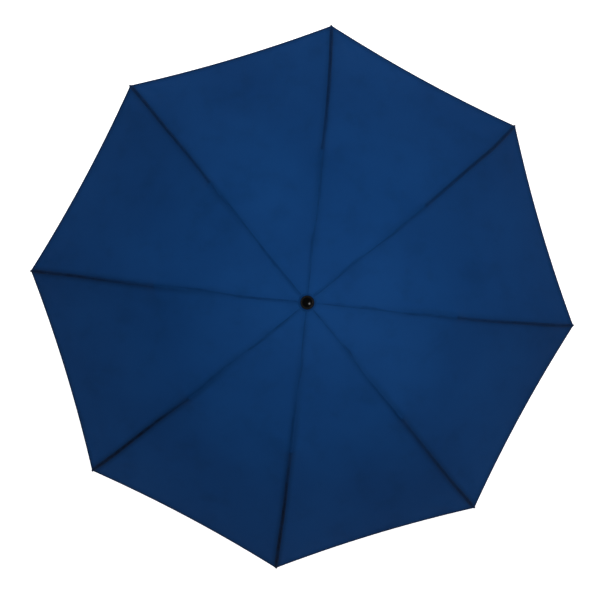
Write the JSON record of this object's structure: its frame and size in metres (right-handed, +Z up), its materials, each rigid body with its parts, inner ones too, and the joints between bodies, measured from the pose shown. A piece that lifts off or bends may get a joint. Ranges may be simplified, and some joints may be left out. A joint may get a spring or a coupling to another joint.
{
  "type": "folding umbrella",
  "caption": "Folding umbrella standing open: domed fabric canopy on jointed ribs with stretchers and tie rods, sliding runner, telescoping shaft and a plain round grip",
  "frame": {"origin": "middle of the grip, on the shaft's axis", "axes": "+Z runs up the shaft to the ferrule cap, +X runs out along the first rib"},
  "size_m": [1.0052, 1.0052, 0.5394],
  "materials": {
    "fabric": "matte",
    "grip": "matte",
    "black_gloss": "gloss",
    "black_nylon": "satin",
    "steel": "satin",
    "chrome": "polished",
    "black_tube": "satin",
    "dark_wire": "satin",
    "button": "satin"
  },
  "bodies": {
    "handle": {"handle_grip": "grip", "handle_cap": "black_gloss", "handle_collar": "chrome", "lower_tube": "chrome"},
    "upper_shaft": {"upper_tube": "black_tube", "top_notch": "black_nylon", "notch_wire": "steel", "ferrule_cap": "black_gloss"},
    "runner": {"runner": "black_nylon", "runner_wire": "steel"},
    "runner_button": {"runner_button": "button"},
    "inner_rib_1": {"inner_rib_1": "steel", "canopy_panel_1": "fabric"},
    "stretcher_1": {"stretcher_1": "steel"},
    "tie_rod_1": {"tie_rod_1": "steel"},
    "outer_rib_1": {"outer_rib_1": "dark_wire", "rib_tip_1": "black_gloss"},
    "inner_rib_2": {"inner_rib_2": "steel", "canopy_panel_2": "fabric"},
    "stretcher_2": {"stretcher_2": "steel"},
    "tie_rod_2": {"tie_rod_2": "steel"},
    "outer_rib_2": {"outer_rib_2": "dark_wire", "rib_tip_2": "black_gloss"},
    "inner_rib_3": {"inner_rib_3": "steel", "canopy_panel_3": "fabric"},
    "stretcher_3": {"stretcher_3": "steel"},
    "tie_rod_3": {"tie_rod_3": "steel"},
    "outer_rib_3": {"outer_rib_3": "dark_wire", "rib_tip_3": "black_gloss"},
    "inner_rib_4": {"inner_rib_4": "steel", "canopy_panel_4": "fabric"},
    "stretcher_4": {"stretcher_4": "steel"},
    "tie_rod_4": {"tie_rod_4": "steel"},
    "outer_rib_4": {"outer_rib_4": "dark_wire", "rib_tip_4": "black_gloss"},
    "inner_rib_5": {"inner_rib_5": "steel", "canopy_panel_5": "fabric"},
    "stretcher_5": {"stretcher_5": "steel"},
    "tie_rod_5": {"tie_rod_5": "steel"},
    "outer_rib_5": {"outer_rib_5": "dark_wire", "rib_tip_5": "black_gloss"},
    "inner_rib_6": {"inner_rib_6": "steel", "canopy_panel_6": "fabric"},
    "stretcher_6": {"stretcher_6": "steel"},
    "tie_rod_6": {"tie_rod_6": "steel"},
    "outer_rib_6": {"outer_rib_6": "dark_wire", "rib_tip_6": "black_gloss"},
    "inner_rib_7": {"inner_rib_7": "steel", "canopy_panel_7": "fabric"},
    "stretcher_7": {"stretcher_7": "steel"},
    "tie_rod_7": {"tie_rod_7": "steel"},
    "outer_rib_7": {"outer_rib_7": "dark_wire", "rib_tip_7": "black_gloss"},
    "inner_rib_8": {"inner_rib_8": "steel", "canopy_panel_8": "fabric"},
    "stretcher_8": {"stretcher_8": "steel"},
    "tie_rod_8": {"tie_rod_8": "steel"},
    "outer_rib_8": {"outer_rib_8": "dark_wire", "rib_tip_8": "black_gloss"}
  },
  "joints": [
    {"name": "shaft_slide", "type": "slide", "parent": "handle", "child": "upper_shaft", "axis": [0, 0, 1], "range_m": [-0.155, 0]},
    {"name": "canopy_fold", "type": "hinge", "parent": "upper_shaft", "child": "inner_rib_1", "pos_m": [0.01, 0, 0.4795], "axis": [0, 1, 0], "range_deg": [0, 77], "deforming": ["canopy_panel_1", "canopy_panel_2", "canopy_panel_3", "canopy_panel_4", "canopy_panel_5", "canopy_panel_6", "canopy_panel_7", "canopy_panel_8"]},
    {"name": "stretcher_hinge_1", "type": "hinge", "parent": "inner_rib_1", "child": "stretcher_1", "pos_m": [0.13565, 0, 0.45508], "axis": [0, 1, 0], "range_deg": [-154, 0]},
    {"name": "tie_hinge_1", "type": "hinge", "parent": "stretcher_1", "child": "tie_rod_1", "pos_m": [0.12976, 0, 0.45393], "axis": [0, 1, 0], "range_deg": [0, 154.35]},
    {"name": "elbow_hinge_1", "type": "hinge", "parent": "inner_rib_1", "child": "outer_rib_1", "pos_m": [0.26784, 0, 0.43285], "axis": [0, 1, 0], "range_deg": [-195, 0]},
    {"name": "rib_hinge_2", "type": "hinge", "parent": "upper_shaft", "child": "inner_rib_2", "pos_m": [0.00707, 0.00707, 0.4795], "axis": [-0.7071, 0.7071, 0], "range_deg": [0, 77]},
    {"name": "stretcher_hinge_2", "type": "hinge", "parent": "inner_rib_2", "child": "stretcher_2", "pos_m": [0.09592, 0.09592, 0.45508], "axis": [-0.7071, 0.7071, 0], "range_deg": [-154, 0]},
    {"name": "tie_hinge_2", "type": "hinge", "parent": "stretcher_2", "child": "tie_rod_2", "pos_m": [0.09175, 0.09175, 0.45393], "axis": [-0.7071, 0.7071, 0], "range_deg": [0, 154.35]},
    {"name": "elbow_hinge_2", "type": "hinge", "parent": "inner_rib_2", "child": "outer_rib_2", "pos_m": [0.18939, 0.18939, 0.43285], "axis": [-0.7071, 0.7071, 0], "range_deg": [-195, 0]},
    {"name": "rib_hinge_3", "type": "hinge", "parent": "upper_shaft", "child": "inner_rib_3", "pos_m": [0, 0.01, 0.4795], "axis": [-1, 0, 0], "range_deg": [0, 77]},
    {"name": "stretcher_hinge_3", "type": "hinge", "parent": "inner_rib_3", "child": "stretcher_3", "pos_m": [0, 0.13565, 0.45508], "axis": [-1, 0, 0], "range_deg": [-154, 0]},
    {"name": "tie_hinge_3", "type": "hinge", "parent": "stretcher_3", "child": "tie_rod_3", "pos_m": [0, 0.12976, 0.45393], "axis": [-1, 0, 0], "range_deg": [0, 154.35]},
    {"name": "elbow_hinge_3", "type": "hinge", "parent": "inner_rib_3", "child": "outer_rib_3", "pos_m": [0, 0.26784, 0.43285], "axis": [-1, 0, 0], "range_deg": [-195, 0]},
    {"name": "rib_hinge_4", "type": "hinge", "parent": "upper_shaft", "child": "inner_rib_4", "pos_m": [-0.00707, 0.00707, 0.4795], "axis": [-0.7071, -0.7071, 0], "range_deg": [0, 77]},
    {"name": "stretcher_hinge_4", "type": "hinge", "parent": "inner_rib_4", "child": "stretcher_4", "pos_m": [-0.09592, 0.09592, 0.45508], "axis": [-0.7071, -0.7071, 0], "range_deg": [-154, 0]},
    {"name": "tie_hinge_4", "type": "hinge", "parent": "stretcher_4", "child": "tie_rod_4", "pos_m": [-0.09175, 0.09175, 0.45393], "axis": [-0.7071, -0.7071, 0], "range_deg": [0, 154.35]},
    {"name": "elbow_hinge_4", "type": "hinge", "parent": "inner_rib_4", "child": "outer_rib_4", "pos_m": [-0.18939, 0.18939, 0.43285], "axis": [-0.7071, -0.7071, 0], "range_deg": [-195, 0]},
    {"name": "rib_hinge_5", "type": "hinge", "parent": "upper_shaft", "child": "inner_rib_5", "pos_m": [-0.01, 0, 0.4795], "axis": [0, -1, 0], "range_deg": [0, 77]},
    {"name": "stretcher_hinge_5", "type": "hinge", "parent": "inner_rib_5", "child": "stretcher_5", "pos_m": [-0.13565, 0, 0.45508], "axis": [0, -1, 0], "range_deg": [-154, 0]},
    {"name": "tie_hinge_5", "type": "hinge", "parent": "stretcher_5", "child": "tie_rod_5", "pos_m": [-0.12976, 0, 0.45393], "axis": [0, -1, 0], "range_deg": [0, 154.35]},
    {"name": "elbow_hinge_5", "type": "hinge", "parent": "inner_rib_5", "child": "outer_rib_5", "pos_m": [-0.26784, 0, 0.43285], "axis": [0, -1, 0], "range_deg": [-195, 0]},
    {"name": "rib_hinge_6", "type": "hinge", "parent": "upper_shaft", "child": "inner_rib_6", "pos_m": [-0.00707, -0.00707, 0.4795], "axis": [0.7071, -0.7071, 0], "range_deg": [0, 77]},
    {"name": "stretcher_hinge_6", "type": "hinge", "parent": "inner_rib_6", "child": "stretcher_6", "pos_m": [-0.09592, -0.09592, 0.45508], "axis": [0.7071, -0.7071, 0], "range_deg": [-154, 0]},
    {"name": "tie_hinge_6", "type": "hinge", "parent": "stretcher_6", "child": "tie_rod_6", "pos_m": [-0.09175, -0.09175, 0.45393], "axis": [0.7071, -0.7071, 0], "range_deg": [0, 154.35]},
    {"name": "elbow_hinge_6", "type": "hinge", "parent": "inner_rib_6", "child": "outer_rib_6", "pos_m": [-0.18939, -0.18939, 0.43285], "axis": [0.7071, -0.7071, 0], "range_deg": [-195, 0]},
    {"name": "rib_hinge_7", "type": "hinge", "parent": "upper_shaft", "child": "inner_rib_7", "pos_m": [0, -0.01, 0.4795], "axis": [1, 0, 0], "range_deg": [0, 77]},
    {"name": "stretcher_hinge_7", "type": "hinge", "parent": "inner_rib_7", "child": "stretcher_7", "pos_m": [0, -0.13565, 0.45508], "axis": [1, 0, 0], "range_deg": [-154, 0]},
    {"name": "tie_hinge_7", "type": "hinge", "parent": "stretcher_7", "child": "tie_rod_7", "pos_m": [0, -0.12976, 0.45393], "axis": [1, 0, 0], "range_deg": [0, 154.35]},
    {"name": "elbow_hinge_7", "type": "hinge", "parent": "inner_rib_7", "child": "outer_rib_7", "pos_m": [0, -0.26784, 0.43285], "axis": [1, 0, 0], "range_deg": [-195, 0]},
    {"name": "rib_hinge_8", "type": "hinge", "parent": "upper_shaft", "child": "inner_rib_8", "pos_m": [0.00707, -0.00707, 0.4795], "axis": [0.7071, 0.7071, 0], "range_deg": [0, 77]},
    {"name": "stretcher_hinge_8", "type": "hinge", "parent": "inner_rib_8", "child": "stretcher_8", "pos_m": [0.09592, -0.09592, 0.45508], "axis": [0.7071, 0.7071, 0], "range_deg": [-154, 0]},
    {"name": "tie_hinge_8", "type": "hinge", "parent": "stretcher_8", "child": "tie_rod_8", "pos_m": [0.09175, -0.09175, 0.45393], "axis": [0.7071, 0.7071, 0], "range_deg": [0, 154.35]},
    {"name": "elbow_hinge_8", "type": "hinge", "parent": "inner_rib_8", "child": "outer_rib_8", "pos_m": [0.18939, -0.18939, 0.43285], "axis": [0.7071, 0.7071, 0], "range_deg": [-195, 0]},
    {"name": "runner_travel", "type": "hinge", "parent": "stretcher_1", "child": "runner", "pos_m": [0.01, 0, 0.43065], "axis": [0, 1, 0], "range_deg": [0, 77]},
    {"name": "button_press", "type": "slide", "parent": "runner", "child": "runner_button", "axis": [-1, 0, 0], "range_m": [0, 0.0016], "stiffness_N_per_m": 600}
  ],
  "couplings": [
    {"joint": "stretcher_hinge_1", "follows": "canopy_fold", "ratio": -2},
    {"joint": "tie_hinge_1", "follows": "canopy_fold", "ratio": 2.0045},
    {"joint": "elbow_hinge_1", "follows": "canopy_fold", "ratio": -2.5325},
    {"joint": "rib_hinge_2", "follows": "canopy_fold", "ratio": 1},
    {"joint": "stretcher_hinge_2", "follows": "canopy_fold", "ratio": -2},
    {"joint": "tie_hinge_2", "follows": "canopy_fold", "ratio": 2.0045},
    {"joint": "elbow_hinge_2", "follows": "canopy_fold", "ratio": -2.5325},
    {"joint": "rib_hinge_3", "follows": "canopy_fold", "ratio": 1},
    {"joint": "stretcher_hinge_3", "follows": "canopy_fold", "ratio": -2},
    {"joint": "tie_hinge_3", "follows": "canopy_fold", "ratio": 2.0045},
    {"joint": "elbow_hinge_3", "follows": "canopy_fold", "ratio": -2.5325},
    {"joint": "rib_hinge_4", "follows": "canopy_fold", "ratio": 1},
    {"joint": "stretcher_hinge_4", "follows": "canopy_fold", "ratio": -2},
    {"joint": "tie_hinge_4", "follows": "canopy_fold", "ratio": 2.0045},
    {"joint": "elbow_hinge_4", "follows": "canopy_fold", "ratio": -2.5325},
    {"joint": "rib_hinge_5", "follows": "canopy_fold", "ratio": 1},
    {"joint": "stretcher_hinge_5", "follows": "canopy_fold", "ratio": -2},
    {"joint": "tie_hinge_5", "follows": "canopy_fold", "ratio": 2.0045},
    {"joint": "elbow_hinge_5", "follows": "canopy_fold", "ratio": -2.5325},
    {"joint": "rib_hinge_6", "follows": "canopy_fold", "ratio": 1},
    {"joint": "stretcher_hinge_6", "follows": "canopy_fold", "ratio": -2},
    {"joint": "tie_hinge_6", "follows": "canopy_fold", "ratio": 2.0045},
    {"joint": "elbow_hinge_6", "follows": "canopy_fold", "ratio": -2.5325},
    {"joint": "rib_hinge_7", "follows": "canopy_fold", "ratio": 1},
    {"joint": "stretcher_hinge_7", "follows": "canopy_fold", "ratio": -2},
    {"joint": "tie_hinge_7", "follows": "canopy_fold", "ratio": 2.0045},
    {"joint": "elbow_hinge_7", "follows": "canopy_fold", "ratio": -2.5325},
    {"joint": "rib_hinge_8", "follows": "canopy_fold", "ratio": 1},
    {"joint": "stretcher_hinge_8", "follows": "canopy_fold", "ratio": -2},
    {"joint": "tie_hinge_8", "follows": "canopy_fold", "ratio": 2.0045},
    {"joint": "elbow_hinge_8", "follows": "canopy_fold", "ratio": -2.5325},
    {"joint": "runner_travel", "follows": "canopy_fold", "ratio": 1}
  ]
}
